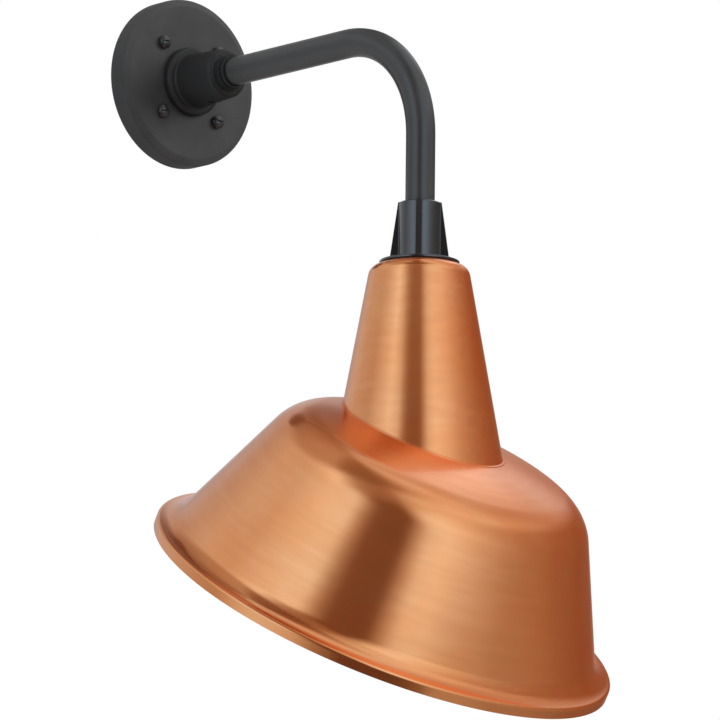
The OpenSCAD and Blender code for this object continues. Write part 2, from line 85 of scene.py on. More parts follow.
# %% The material workbench
class Signal:
    def __init__(self, bench, socket):
        self.bench, self.socket = bench, socket

    def apply(self, operation, *others):
        """A Math node that takes this signal first."""
        return self.bench.add("ShaderNodeMath", {"operation": operation}, self, *others)

    def __add__(self, other):
        return self.apply("ADD", other)

    def __rsub__(self, other):
        return self.bench.add("ShaderNodeMath", {"operation": "SUBTRACT"}, other, self)

    def __mul__(self, other):
        return self.apply("MULTIPLY", other)

    def __truediv__(self, other):
        return self.apply("DIVIDE", other)

    __radd__, __rmul__ = __add__, __mul__

    def rise(self, start, end):
        """0 below start, 1 above end, and a smooth rise between; it falls if start is the larger."""
        settings = {"interpolation_type": "SMOOTHSTEP"}
        return self.bench.add("ShaderNodeMapRange", settings, self, start, end, 0, 1)


class Bench:
    def __init__(self, tree):
        self.tree = tree
        tree.nodes.clear()

    def add(self, kind, settings=None, *values, out=0, **named):
        node = self.tree.nodes.new(kind)
        for name, value in (settings or {}).items():
            if name == "stops":
                self.set_stops(node.color_ramp, value)
            else:
                setattr(node, name, value)
        for index, value in enumerate(values):
            self.feed(node.inputs[index], value)
        for name, value in named.items():
            self.feed(node.inputs[name.replace("_", " ")], value)
        return Signal(self, node.outputs[out]) if node.outputs else None

    def feed(self, socket, value):
        if isinstance(value, Signal):
            self.tree.links.new(value.socket, socket)
        elif value is not None:
            socket.default_value = value

    def set_stops(self, ramp, stops):
        while len(ramp.elements) < len(stops):
            ramp.elements.new(0.5)
        for element, (place, colour) in zip(ramp.elements, stops):
            element.position, element.color = place, colour

    def blend(self, factor, first, second, how="MIX"):
        settings = {"data_type": "RGBA", "blend_type": how}
        mix = self.add("ShaderNodeMix", settings, factor, out=2)
        self.feed(mix.socket.node.inputs[6], first)
        self.feed(mix.socket.node.inputs[7], second)
        return mix

    def place(self, centre=(0, 0, 0), turn=(0, 0, 0)):
        """Object coordinates seen from a part's own centre and turned to its own axis."""
        spot = self.add("ShaderNodeTexCoord", out=3)
        return self.add("ShaderNodeMapping", {"vector_type": "TEXTURE"}, spot, centre, turn)

    def stretch(self, spot, scale):
        return self.add("ShaderNodeVectorMath", {"operation": "MULTIPLY"}, spot, scale)

    def split(self, spot):
        parts = self.add("ShaderNodeSeparateXYZ", None, spot).socket.node.outputs
        return [Signal(self, part) for part in parts]

    def noise(self, spot, scale, detail=2.0, roughness=0.5):
        return self.add("ShaderNodeTexNoise", None, Vector=spot, Scale=scale, Detail=detail,
                        Roughness=roughness)

    def relief(self, height, strength, depth):
        return self.add("ShaderNodeBump", None, Strength=strength, Distance=depth, Height=height)


def colour(red, green, blue):
    return (red, green, blue, 1.0)


def finish(name, make):
    """A material named name, whose shader is what make(bench) returns."""
    material = bpy.data.materials.new(name)
    material.use_nodes = True
    bench = Bench(material.node_tree)
    surface = make(bench)
    bench.add("ShaderNodeOutputMaterial", None, surface)
    print("finish", name, "with", len(material.node_tree.nodes), "nodes")
    return material


def skin(bench, base, rough, metal=0.0, normal=None, **fixed):
    """The surface shader; fixed are numbers that are the same all over."""
    return bench.add("ShaderNodeBsdfPrincipled", None, Base_Color=base, Roughness=rough, Metallic=metal,
                     Normal=normal, **fixed)


# %% [markdown]
# ## The studio
#
# Polished metal has little colour of its own: it shows the room. A photographer therefore builds the room
# that the copper has to show. Here it is a round tent of cloth, sewn from four rings of panels: below, level,
# above and the roof. It is bright on each side of the camera, dark where the camera stands, dim on the right
# and grey behind. A small strip lamp and a black flag hang high on the right, a little behind the light. The
# tent is seen only in reflections. A pale floor lies two metres below, as far as a wall light hangs, and the
# backdrop is white.

# %% Backdrop, floor and tent
LIGHT_CENTRE = Vector((0, -0.2, -0.25))
FLOOR_DEPTH, FLOOR_RADIUS = -2.0, 4
WHITE_FROM, WHITE_AT = 2.0, 3.8
ROOM_LEVEL = 0.22
TENT_RADIUS = 1.6
FULL_GLOW = 1.2


def backdrop(bench):
    """White for the camera and for metal and glass, a plain grey level for all other light."""
    path = bench.add("ShaderNodeLightPath").socket.node.outputs
    names = ("Is Camera Ray", "Is Glossy Ray", "Is Transmission Ray")
    direct, glossy, through = [Signal(bench, path[name]) for name in names]
    shown = direct.apply("MAXIMUM", glossy.apply("MAXIMUM", through))
    return bench.add("ShaderNodeBackground", None, colour(1, 1, 1), shown * (1 - ROOM_LEVEL) + ROOM_LEVEL)


world = bpy.data.worlds.new("studio")
world.use_nodes = True
bpy.context.scene.world = world
sky = Bench(world.node_tree)
sky.add("ShaderNodeOutputWorld", None, backdrop(sky))


def pale_floor(bench):
    """Pale paint under the light that turns white towards the edge; from below the floor isn't there."""
    spot = bench.place()
    x, y, _ = bench.split(spot)
    away = (x * x + y * y).apply("SQRT")
    speckle = bench.noise(spot, 40)
    shade = bench.blend(speckle, colour(.80, .80, .79), colour(.84, .84, .83))
    paint = bench.add("ShaderNodeBsdfDiffuse", None, shade)
    white = bench.add("ShaderNodeEmission", None, colour(1, 1, 1), 1.0)
    top = bench.add("ShaderNodeMixShader", None, away.rise(WHITE_FROM, WHITE_AT), paint, white)
    under = bench.add("ShaderNodeNewGeometry", out=6)
    return bench.add("ShaderNodeMixShader", None, under, top, bench.add("ShaderNodeBsdfTransparent"))


bpy.ops.mesh.primitive_circle_add(vertices=96, radius=FLOOR_RADIUS, fill_type="NGON",
                                  location=(0, 0, FLOOR_DEPTH))
floor = bpy.context.object
floor.name = "floor"
floor.data.materials.append(finish("pale floor", pale_floor))

# Brightness of each ring by its angle in degrees: 0 is straight ahead of the wall, the camera stands at -42.
LOW_RING = [(-180, .50), (-125, .66), (-100, .78), (-84, .66), (-74, .32), (-62, .03), (-34, .04), (-20, .16),
            (-12, .42), (8, .42), (24, .31), (50, .28), (78, .14), (110, .08), (150, .30), (180, .50)]
LEVEL_RING = [(-180, .57), (-165, .60), (-145, .54), (-122, .46), (-106, .64), (-92, .80), (-79, .94), (-69, .94),
              (-61, .34), (-55, .09), (-37, .07), (-31, .48), (-25, .92), (-15, 1.02), (-3, .86), (8, .66),
              (20, .46), (36, .29), (60, .16), (90, .07), (112, .08), (128, .30), (142, .62), (156, .42), (180, .57)]
UPPER_RING = [(-180, .46), (-140, .64), (-112, .66), (-96, .82), (-84, .98), (-74, .66), (-66, .36), (-52, .22),
              (-38, .22), (-28, .56), (-16, .76), (8, .80), (26, .70), (45, .48), (75, .36), (98, .40),
              (110, .70), (122, .46), (136, .58), (155, .48), (180, .46)]
ROOF_RING = [(-180, .30), (-150, .38), (-112, .42), (-92, .46), (-76, .16), (-44, .06), (-26, .14), (-6, .50),
             (22, .74), (52, .50), (84, .50), (106, .74), (120, .42), (134, .20), (160, .22), (180, .30)]
# Directions of the strip lamp and of the flag, as seen from the light
STRIP, FLAG = Vector((0.621, 0.166, 0.766)), Vector((0.489, 0.456, 0.743))


def cloth_colour(b):
    """Dim cloth is a little warm and bright cloth a little cool, as tungsten and daylight are."""
    share = b / FULL_GLOW
    return colour(share, share * (0.80 + 0.44 * b), share * (0.60 + 0.90 * b))


def tent_cloth(bench):
    """Cloth that glows as its rings say, with one small strip lamp and one black flag high behind the light."""
    x, y, z = bench.split(bench.place(LIGHT_CENTRE))
    height = z / TENT_RADIUS
    angle = x.apply("ARCTAN2", y * -1) / (2 * math.pi) + 0.5

    def ring(panels):
        stops = [((degrees + 180) / 360, cloth_colour(b)) for degrees, b in panels]
        return bench.add("ShaderNodeValToRGB", {"stops": stops}, angle)

    cloth = bench.blend(height.rise(-0.26, -0.06), ring(LOW_RING), ring(LEVEL_RING))
    cloth = bench.blend(height.rise(0.34, 0.58), cloth, ring(UPPER_RING))
    cloth = bench.blend(height.rise(0.70, 0.85), cloth, ring(ROOF_RING))

    def patch(way, edge, inner):
        """1 within inner degrees of a direction, 0 past edge degrees."""
        near = (x * way.x + y * way.y + z * way.z) / TENT_RADIUS
        return near.rise(math.cos(math.radians(edge)), math.cos(math.radians(inner)))

    strip, flag = patch(STRIP, 12, 5), patch(FLAG, 17, 6)
    panels = bench.add("ShaderNodeEmission", None, cloth, FULL_GLOW - flag * 0.9)
    lamp = bench.add("ShaderNodeEmission", None, colour(0.88, 1.0, 1.15), strip * 0.5)
    return bench.add("ShaderNodeAddShader", None, panels, lamp)


bpy.ops.mesh.primitive_uv_sphere_add(segments=96, ring_count=48, radius=TENT_RADIUS,
                                     location=LIGHT_CENTRE)
tent = bpy.context.object
tent.name = "tent"
bpy.ops.object.transform_apply(location=True)
tent.data.materials.append(finish("tent cloth", tent_cloth))
tent.visible_camera = tent.visible_diffuse = tent.visible_shadow = False
print("tent panels:", sum(map(len, (LOW_RING, LEVEL_RING, UPPER_RING, ROOF_RING))))

# %% [markdown]
# Three large soft lamps do the plain lighting of paint, porcelain and glass. They aren't seen in the metal,
# because the tent's panels already stand there.


# %% Lamps
def soft_lamp(name, turn, rise, distance, size, power):
    """An area lamp that faces the light from a turn and a rise in degrees."""
    a, e = math.radians(turn), math.radians(rise)
    way = Vector((math.sin(a) * math.cos(e), -math.cos(a) * math.cos(e), math.sin(e)))
    bpy.ops.object.light_add(type="AREA", location=LIGHT_CENTRE + distance * way)
    lamp = bpy.context.object
    lamp.name = name
    lamp.rotation_euler = way.to_track_quat("Z", "Y").to_euler()
    lamp.data.shape, lamp.data.size, lamp.data.energy = "SQUARE", size, power
    lamp.visible_camera = lamp.visible_glossy = False
    return lamp


# Name, turn, rise, distance, size and watts of each lamp
LAMPS = [("left_lamp", -80, 25, 2.6, 1.6, 15),
         ("right_lamp", 48, 25, 2.6, 1.6, 74),
         ("top_lamp", -30, 75, 2.6, 1.8, 22)]
for plan in LAMPS:
    print("lamp", soft_lamp(*plan).name)

# %% [markdown]
# ## Copper
#
# The shade is spun: a copper disc is pressed over a turning form, and then brushed while it still turns, so
# every scratch runs round the axis. Under its clear lacquer the copper has warmed to a red brown, which a
# reflection alone doesn't show. So two surfaces are mixed: bright metal under a clear coat, and about a fifth
# of a deep orange tint. The brushing is noise that is stretched round the axis, fine along the profile and
# long round it, and slow clouds vary the colour and the gloss. The skirt's crown is brushed more coarsely
# than its flank, so the copper turns rougher near the axis.


# %% The copper finish
WARM_SHARE = 0.22
CROWN_EDGE, EDGE_WIDTH = 0.11, 0.02


def copper(centre, turn, soft_inside=None):
    """Copper brushed round an axis, and rougher within the radius soft_inside of it."""
    def make(bench):
        spot = bench.place(centre, turn)
        x, y, z = bench.split(spot)
        radius = (x * x + y * y).apply("SQRT")
        round_x, round_y = x / (radius + 0.001), y / (radius + 0.001)
        lines = bench.add("ShaderNodeCombineXYZ", None, radius * 900, z * 900, round_x * 1.3)
        hair = bench.add("ShaderNodeTexNoise", {"noise_dimensions": "4D"}, lines, round_y * 1.3, 1.0, 3.0)
        streaks = bench.add("ShaderNodeCombineXYZ", None, radius * 160, z * 160, round_x * 2.5)
        streak = bench.add("ShaderNodeTexNoise", {"noise_dimensions": "4D"}, streaks, round_y * 2.5, 1.0, 2.0)
        cloud = bench.noise(spot, 14, 3)
        patch = bench.noise(spot, 45, 4, 0.6)
        bright = bench.blend(cloud.rise(0.35, 0.65), colour(1.0, 0.43, 0.155), colour(1.0, 0.49, 0.205))
        bright = bench.blend(streak.rise(0.3, 0.7) * 0.45, bright, colour(0.86, 0.37, 0.13))
        rough = 0.10 + cloud * 0.03 + patch * 0.02 + streak * 0.03
        if soft_inside:
            rough = rough + radius.rise(soft_inside + EDGE_WIDTH, soft_inside - EDGE_WIDTH) * 0.12
        relief = bench.relief(hair * 0.6 + streak * 0.4, 0.06, 0.0004)
        metal = skin(bench, bright, rough, 1.0, relief, Coat_Weight=0.5, Coat_Roughness=0.07)
        tint = bench.blend(patch.rise(0.3, 0.7), colour(0.98, 0.13, 0.015), colour(0.92, 0.17, 0.025))
        warm = skin(bench, tint, 0.5, 0.0, relief, Specular_IOR_Level=0.2)
        return bench.add("ShaderNodeMixShader", None, WARM_SHARE, metal, warm)

    return make


SHADE_ANGLE = 31.3
NECK_CENTRE = (0, -0.2775, -0.1764)
SKIRT_CENTRE, SKIRT_TURN = (0, -0.30945, -0.30805), (math.radians(180 + SHADE_ANGLE), 0, 0)
finishes = {
    "shade_neck": finish("neck copper", copper(NECK_CENTRE, (0, 0, 0))),
    "shade_skirt": finish("skirt copper", copper(SKIRT_CENTRE, SKIRT_TURN, soft_inside=CROWN_EDGE)),
}

# %% [markdown]
# ## Black powder coat
#
# The plate, hub and cap are castings under black powder coat: a matt black with a very fine orange peel and a
# faint grain of the casting under it. The arm has the same coat on smooth pipe, so it is a little
# glossier. The screws are oiled steel, blackened before they were driven.


# %% The black finishes
def black_coat(dark, light, rough, grain, peel, **fixed):
    def make(bench):
        spot = bench.place()
        fine, slow = bench.noise(spot, 1400, 2), bench.noise(spot, 30, 3)
        casting = bench.noise(spot, 260, 4, 0.65)
        shade = bench.blend(slow.rise(0.3, 0.7) * 0.7 + fine * 0.3, dark, light)
        relief = bench.relief(fine * peel + casting * grain, 0.25, 0.0006)
        return skin(bench, shade, rough + slow * 0.07 + fine * 0.05, 0.0, relief, **fixed)

    return make


def blackened(name, dark, light, rough, grain, peel, **fixed):
    return finish(name, black_coat(colour(*dark), colour(*light), rough, grain, peel, **fixed))


black_casting = blackened("black casting", (.045, .045, .045), (.061, .061, .061), 0.50, 0.5, 0.25,
                          Specular_IOR_Level=0.25)
# The hub has the plate's coat painted about three times darker: painted shade for its side and underside, which face
# away from the lamps.
hub_coat_painted_shade = blackened("black hub painted shade", (.014, .014, .014), (.021, .021, .021), 0.42, 0.4, 0.2,
                      Specular_IOR_Level=0.35)
black_cap = blackened("black cap", (.010, .010, .011), (.016, .016, .017), 0.12, 0.1, 0.1,
                      Specular_IOR_Level=1.0, Coat_Weight=0.6, Coat_Roughness=0.1)
black_tube = blackened("black tube", (.032, .032, .032), (.042, .042, .042), 0.26, 0.08, 0.12,
                       Specular_IOR_Level=0.7)
black_screw = blackened("black screw", (.020, .020, .021), (.030, .030, .032), 0.20, 0.2, 0.1,
                        Specular_IOR_Level=1.0)
finishes.update(wall_plate=black_casting, hub=hub_coat_painted_shade, shade_cap=black_cap)
finishes["arm_tube"], finishes["plate_screws"] = black_tube, black_screw

# %% [markdown]
# ## Plated and plain metal
#
# Hidden hardware is zinc-plated steel, terminals and the screw shell are brass, and the bulb's base is
# nickel-plated. All three are metals with fine random scratches and clouds in their gloss.


# %% Metal finishes
def plated(dark, light, rough, scratch):
    def make(bench):
        spot = bench.place()
        cloud = bench.noise(spot, 120, 4, 0.6)
        lines = bench.noise(bench.stretch(spot, (1.0, 5.0, 0.4)), 900, 2)
        shade = bench.blend(cloud.rise(0.3, 0.7), dark, light)
        relief = bench.relief(lines, scratch, 0.0002)
        return skin(bench, shade, rough + cloud * 0.14 + lines * 0.05, 1.0, relief)

    return make


zinc = finish("zinc steel", plated(colour(.50, .52, .55), colour(.68, .68, .66), 0.28, 0.10))
brass = finish("brass", plated(colour(.62, .43, .17), colour(.80, .60, .28), 0.22, 0.08))
nickel = finish("bulb base metal", plated(colour(.60, .58, .55), colour(.78, .77, .74), 0.20, 0.06))
for name in ("mounting_ring", "hub_set_screw", "arm_lock_nut", "cap_set_screw", "lock_washer", "cap_lock_nut",
             "socket_screws", "bulb_contact"):
    finishes[name] = zinc
for name in ("terminal_screws", "center_contact", "screw_shell"):
    finishes[name] = brass
finishes["bulb_base"] = nickel

# %% [markdown]
# ## Rubber, porcelain, plastic and glass
#
# The rest are moulded or fired: gaskets and bushings of matt black rubber, a glazed porcelain lamp holder,
# insulation with a soft waxy gloss, pressed fibre, black glass under the bulb's tip and an opal bulb.


# %% Moulded and fired finishes
def moulded(dark, light, rough, scale, relief_depth, **fixed):
    def make(bench):
        spot = bench.place()
        cloud, fine = bench.noise(spot, scale, 3), bench.noise(spot, scale * 9, 2)
        shade = bench.blend(cloud.rise(0.3, 0.7), dark, light)
        relief = bench.relief(fine * 0.6 + cloud * 0.4, 0.2, relief_depth)
        return skin(bench, shade, rough + fine * 0.08, 0.0, relief, **fixed)

    return make


rubber = finish("rubber", moulded(colour(.016, .016, .017), colour(.030, .030, .030), 0.62, 200, 0.0003))
porcelain = finish("porcelain", moulded(colour(.80, .77, .70), colour(.86, .84, .79), 0.10, 60, 0.0002,
                                        Coat_Weight=0.6, Coat_Roughness=0.06))
fibre = finish("fibre", moulded(colour(.16, .09, .045), colour(.26, .15, .08), 0.55, 300, 0.0003))
black_glass = finish("black glass", moulded(colour(.010, .010, .014), colour(.020, .020, .028), 0.06, 90,
                                            0.0001))
jacket = finish("cable jacket", moulded(colour(.60, .60, .58), colour(.70, .70, .68), 0.42, 120, 0.0002))
green_screw = finish("ground green", moulded(colour(.03, .16, .05), colour(.05, .24, .08), 0.35, 200, 0.0002))
opal = finish("frosted glass", moulded(colour(.84, .84, .81), colour(.90, .90, .88), 0.22, 40, 0.0001,
                                       Subsurface_Weight=0.3, Subsurface_Radius=(0.01, 0.01, 0.009),
                                       Coat_Weight=0.3, Coat_Roughness=0.1))
for name in ("wall_gasket", "cap_gasket", "arm_bushings", "cap_bushing"):
    finishes[name] = rubber
for name in ("arm_cable", "socket_cable"):
    finishes[name] = jacket
finishes.update(socket_body=porcelain, contact_insulator=fibre, bulb_insulator=black_glass,
                ground_screw=green_screw, bulb_glass=opal)


def insulation(tone):
    """A lead's plastic, a little waxy and greyed in soft patches."""
    def make(bench):
        spot = bench.place()
        wax = bench.noise(spot, 300, 2)
        shade = bench.blend(wax.rise(0.3, 0.7) * 0.4, tone, colour(.35, .35, .35))
        return skin(bench, shade, 0.38 + wax * 0.1, 0.0, bench.relief(wax, 0.15, 0.0002))

    return make


for name, tone in (("black", (.02, .02, .02)), ("white", (.80, .80, .77)), ("green", (.04, .30, .08))):
    plastic = finish(name + " insulation", insulation(colour(*tone)))
    for lead in ("lead_" + name, "socket_lead_" + name):
        finishes[lead] = plastic

# %% [markdown]
# ## Turning, carving and softening
#
# Castings, nuts and screws are round things with a few cuts in them, so three tools make them all. `turned`
# works like a lathe: one point is pulled along the section, and the section is spun round the Z axis. `carve`
# cuts one shape with another. `soften` rounds the sharp edges that are left, since no real edge is perfectly
# sharp, and it is the small rounding that catches the light. Sections are written in millimetres.


# %% The lathe, the cutter and the file
MM = 0.001


def alone(piece):
    """Selects the piece and nothing else, because an operator acts on all that is selected."""
    bpy.ops.object.select_all(action="DESELECT")
    piece.select_set(True)
    bpy.context.view_layer.objects.active = piece


def turned(line, steps=96):
    """A lathe piece round Z; the line is a list of radius and height."""
    bpy.ops.object.select_all(action="DESELECT")
    bpy.ops.mesh.primitive_plane_add(size=MM)
    piece = bpy.context.object
    bpy.ops.object.mode_set(mode="EDIT")
    bpy.ops.mesh.merge(type="CENTER")
    bpy.ops.transform.translate(value=(line[0][0] * MM, 0, line[0][1] * MM))
    for (r0, z0), (r1, z1) in zip(line, line[1:]):
        step = ((r1 - r0) * MM, 0, (z1 - z0) * MM)
        bpy.ops.mesh.extrude_vertices_move(TRANSFORM_OT_translate={"value": step})
    bpy.ops.mesh.select_all(action="SELECT")
    bpy.ops.mesh.remove_doubles(threshold=1e-6)
    bpy.ops.mesh.spin(steps=steps, angle=2 * math.pi, center=(0, 0, 0), axis=(0, 0, 1))
    bpy.ops.mesh.select_all(action="SELECT")
    bpy.ops.mesh.remove_doubles(threshold=1e-6)
    bpy.ops.mesh.normals_make_consistent(inside=False)
    bpy.ops.object.mode_set(mode="OBJECT")
    return piece


def carve(piece, tool, operation="DIFFERENCE"):
    """Cuts the tool out of the piece, joins it on, or keeps what the two share; the tool is used up."""
    alone(piece)
    modifier = piece.modifiers.new("carve", "BOOLEAN")
    modifier.operation, modifier.object, modifier.solver = operation, tool, "EXACT"
    bpy.ops.object.modifier_apply(modifier=modifier.name)
    bpy.data.objects.remove(tool)
    return piece


def soften(piece, width, angle=35, segments=3):
    """Rounds every edge that turns by more than the angle."""
    alone(piece)
    modifier = piece.modifiers.new("soften", "BEVEL")
    modifier.width, modifier.segments, modifier.angle_limit = width * MM, segments, math.radians(angle)
    bpy.ops.object.modifier_apply(modifier=modifier.name)
    return piece


def block(size, centre, turn=0.0):
    """A box as a tool for carving, with its size and centre in millimetres."""
    bpy.ops.object.select_all(action="DESELECT")
    bpy.ops.mesh.primitive_cube_add(size=1, location=[v * MM for v in centre], rotation=(0, 0, turn),
                                    scale=[v * MM for v in size])
    bpy.ops.object.transform_apply(location=True, rotation=True, scale=True)
    return bpy.context.object


def placed(piece, place, turn):
    alone(piece)
    piece.location, piece.rotation_euler = place, turn
    bpy.ops.object.transform_apply(location=True, rotation=True, scale=True)
    return piece


def settle(piece, name, place, turn, body, node, material):
    """Puts a piece in its place on the light, dresses it and lets it stand for a CAD node."""
    placed(piece, place, turn)
    bpy.ops.object.shade_smooth_by_angle(angle=math.radians(32))
    even = piece.modifiers.new("even", "WEIGHTED_NORMAL")
    even.keep_sharp = True
    bpy.ops.object.modifier_apply(modifier=even.name)
    piece.name = name
    piece.data.materials.clear()
    piece.data.materials.append(material)
    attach(piece, body)
    if node:
        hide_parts(node)
    print(name, "faces:", len(piece.data.polygons))
    return piece


def bow(centre, radius, start, end, count=8):
    """Points of an arc in a section; 0 degrees points outwards and 90 along the axis."""
    angles = [math.radians(start + (end - start) * i / count) for i in range(count + 1)]
    return [(centre[0] + radius * math.cos(a), centre[1] + radius * math.sin(a)) for a in angles]


# %% [markdown]
# ## The wall plate and the hub
#
# Both are iron castings. The plate is a shallow dish with a bevelled face, and its edges are worn round by
# the sand of the mould and by the coat of paint. The hub stands on it: a half-round bead, a barrel with a
# rounded nose and two small collars. Their sections are drawn from the wall outwards, so the lathe's axis is
# laid down to point away from the wall.

# %% Turn the wall plate and the hub
AWAY = (math.radians(90), 0, 0)

plate = turned([(10.95, 15.5), (57, 15.5), (61, 14.5), (61, 1.5), (64, 1.5), (64, 16), (58.5, 18.5),
                (10.95, 18.5), (10.95, 15.5)], 128)
soften(plate, 0.45, 15)
settle(plate, "cast_wall_plate", (0, 0, 0), AWAY, "wall_arm", "wall_plate", black_casting)

bead = bow((22.95, 21.75), 3.25, 0, 90)
foot_fillet = [(22.1, 25.0), (21.2, 25.25), (20.6, 26.0)]
nose = bow((14.8, 59.5), 4.0, 0, 90)
hub = turned([(10.7, 18.5), (26.2, 18.5)] + bead + foot_fillet + [(20.35, 27)] + nose +
             [(13.9, 63.55), (13.5, 63.9), (13.5, 67.25), (12.3, 67.25), (12.3, 71), (10.95, 71)] +
             [(10.7, 63.5), (10.7, 18.5)], 96)
screw_hole = turned([(0, 0), (2.55, 0), (2.55, 26), (0, 26)], 32)
screw_hole.location, screw_hole.rotation_euler = (0, 0, 44.25 * MM), (math.radians(90), 0, 0)
carve(hub, screw_hole)
soften(hub, 0.35)
settle(hub, "cast_hub", (0, 0, 0), AWAY, "wall_arm", "hub", hub_coat_painted_shade)

# %% [markdown]
# ## Slotted screws
#
# Four screws with high domed heads hold the plate. One is turned and its slot is sawn; the others are
# copies, each with its own mesh. The slots don't line up, because the fitter stopped turning when each screw
# was tight.

# %% Make one screw and copy it
# The dome is a cap of a sphere, whose centre lies below the plate's face and DOME_RISE below the dome's edge
HEAD_R, DOME_R, DOME_CENTRE, DOME_RISE = 5.1, 6.302, -1.102, 3.702
DOME_START = math.degrees(math.asin(DOME_RISE / DOME_R))
first_screw = turned([(0, -17.5), (1.7, -17.5), (2, -17.2), (2, 0), (HEAD_R, 0)] +
                     bow((0, DOME_CENTRE), DOME_R, DOME_START, 90, 10), 40)
carve(first_screw, block((12, 1.3, 4), (0, 0, 5.9)))
soften(first_screw, 0.15, 40, 2)
screws = [first_screw]
for _ in range(3):
    twin = first_screw.copy()
    twin.data = first_screw.data.copy()
    bpy.context.collection.objects.link(twin)
    screws.append(twin)

# Across, up and the turn of the slot
SCREW_PLACES = [(26.8, 26.8, 8), (-26.8, 26.8, -5), (-26.8, -26.8, 4), (26.8, -26.8, -10)]
for number, (screw, (x, z, slot_turn)) in enumerate(zip(screws, SCREW_PLACES), 1):
    settle(screw, f"plate_screw_{number}", (x * MM, -18.5 * MM, z * MM),
           (math.radians(90), math.radians(-slot_turn), 0), "wall_arm", "plate_screws",
           black_screw)

# %% [markdown]
# ## The ribbed cap
#
# The cap grips the end of the arm and carries the shade. Its body and flange are turned in one, with a
# fillet where they meet. A rib is a thin wedge, wide at its foot: it is started as a box, and the outer edge
# of its top is pulled in. Four ribs are joined to the body, and softening rounds their edges and fills
# their corners, as in any casting.

# %% Turn the cap and join its ribs
DOWN = (math.radians(180), 0, 0)
SEAT = (0, -277.5 * MM, -176.4 * MM)

RIB_FOOT, RIB_TOP = 21.6, 15.7
flange = [(11, -0.8), (28.6, -0.8), (29, -1.2), (29, -2.2), (28.4, -2.8), (17.3, -2.8)]
fillet = [(16.3, -3.1), (15.6, -3.8), (15.3, -4.8)]
barrel = [(15.3, -44.6), (14.3, -45.6), (10.7, -45.6), (10.7, -8.4), (6.5, -8.4), (6.5, 19.6)]
cap = turned([(6.5, 19.6), (11, 19.6)] + flange + fillet + barrel, 96)
rib_tool = block((8.3, 4.6, 42.8), (17.45, 0, -24.2))
alone(rib_tool)
bpy.ops.object.mode_set(mode="EDIT")
bpy.ops.mesh.select_all(action="DESELECT")
bpy.ops.object.mode_set(mode="OBJECT")
for corner in rib_tool.data.vertices:
    corner.select = corner.co.x > 18 * MM and corner.co.z < -40 * MM
bpy.ops.object.mode_set(mode="EDIT")
bpy.ops.mesh.select_mode(type="VERT")
bpy.ops.transform.translate(value=((RIB_TOP - RIB_FOOT) * MM, 0, 0))
bpy.ops.object.mode_set(mode="OBJECT")

for quarter in range(4):
    rib = rib_tool.copy()
    rib.data = rib_tool.data.copy()
    bpy.context.collection.objects.link(rib)
    rib.rotation_euler = (0, 0, math.radians(45 + 90 * quarter))
    carve(cap, rib, "UNION")
bpy.data.objects.remove(rib_tool)
soften(cap, 0.45, 40)
settle(cap, "cast_cap", SEAT, DOWN, "shade", "shade_cap", black_cap)

# %% [markdown]
# ## The spun skirt
#
# The skirt is one disc of sheet, spun over a form. Its section is a chain of arcs and lines that run on into
# one another without a kink: the shallow crown, a soft shoulder, the straight flank, the hollow of the brim, a
# tight edge and the rim band. `facing` gives a direction in the section, and each arc starts where the last
# one ends. The inside is the same chain one sheet further in, and the hem is folded in at the foot.

# %% Spin the skirt and cut the neck's opening
CROWN, SHOULDER = 420, 40
FLANK_FACE, BRIM_FACE = 90 - 24.4, 90 - 82
FOOT, RIM, DEPTH, SHEET, HEM = Vector((161, 122.5)), 173.5, 132, 1.0, 4.5
BRIM_FLAT, HOLLOW_SHARE, EDGE_SHARE = 0.2, 0.84, 0.16
NECK_WIDE, NECK_SLOPE, NECK_LENGTH = 35.4, math.tan(math.radians(10.3)), 196.2
PLUG_TOP = 20


def facing(angle):
    """A direction in the section: 0 faces the top and 90 faces outwards."""
    a = math.radians(angle)
    return Vector((math.sin(a), -math.cos(a)))


def tangent(angle):
    return math.tan(math.radians(angle))


def share_angle(start, end):
    """What an arc's centre is divided by when it lies between two facings."""
    return 1 + math.cos(math.radians(end - start))


brim = (RIM - FOOT.x) / math.cos(math.radians(BRIM_FACE)) - BRIM_FLAT
hollow = brim * HOLLOW_SHARE / tangent((FLANK_FACE - BRIM_FACE) / 2)
edge = brim * EDGE_SHARE / tangent((90 - BRIM_FACE) / 2)
crown_centre = Vector((0, CROWN))
reach = facing(FLANK_FACE).dot(FOOT - crown_centre)
CROWN_END = FLANK_FACE - math.degrees(math.acos((reach - SHOULDER) / (CROWN - SHOULDER)))
shoulder_centre = crown_centre + (CROWN - SHOULDER) * facing(CROWN_END)
hollow_centre = FOOT + (hollow * (facing(FLANK_FACE) + facing(BRIM_FACE)) /
                        share_angle(BRIM_FACE, FLANK_FACE))
corner = Vector((RIM, FOOT.y + (RIM - FOOT.x) * tangent(BRIM_FACE)))
edge_centre = corner - edge * (facing(BRIM_FACE) + facing(90)) / share_angle(BRIM_FACE, 90)


def skirt_line(inset):
    """The skirt's section from the crown to the band, some way inside its outer face."""
    top = (bow(crown_centre, CROWN - inset, -90, CROWN_END - 90, 36) +
           bow(shoulder_centre, SHOULDER - inset, CROWN_END - 90, FLANK_FACE - 90, 20)[1:])
    foot = bow(hollow_centre, -hollow - inset, FLANK_FACE - 90, BRIM_FACE - 90, 14)
    flank = [tuple(Vector(top[-1]).lerp(Vector(foot[0]), i / 10)) for i in range(1, 10)]
    return top + flank + foot + bow(edge_centre, edge - inset, BRIM_FACE - 90, 0, 8)


def neck_width(depth, gap):
    return NECK_WIDE + NECK_SLOPE * depth + gap


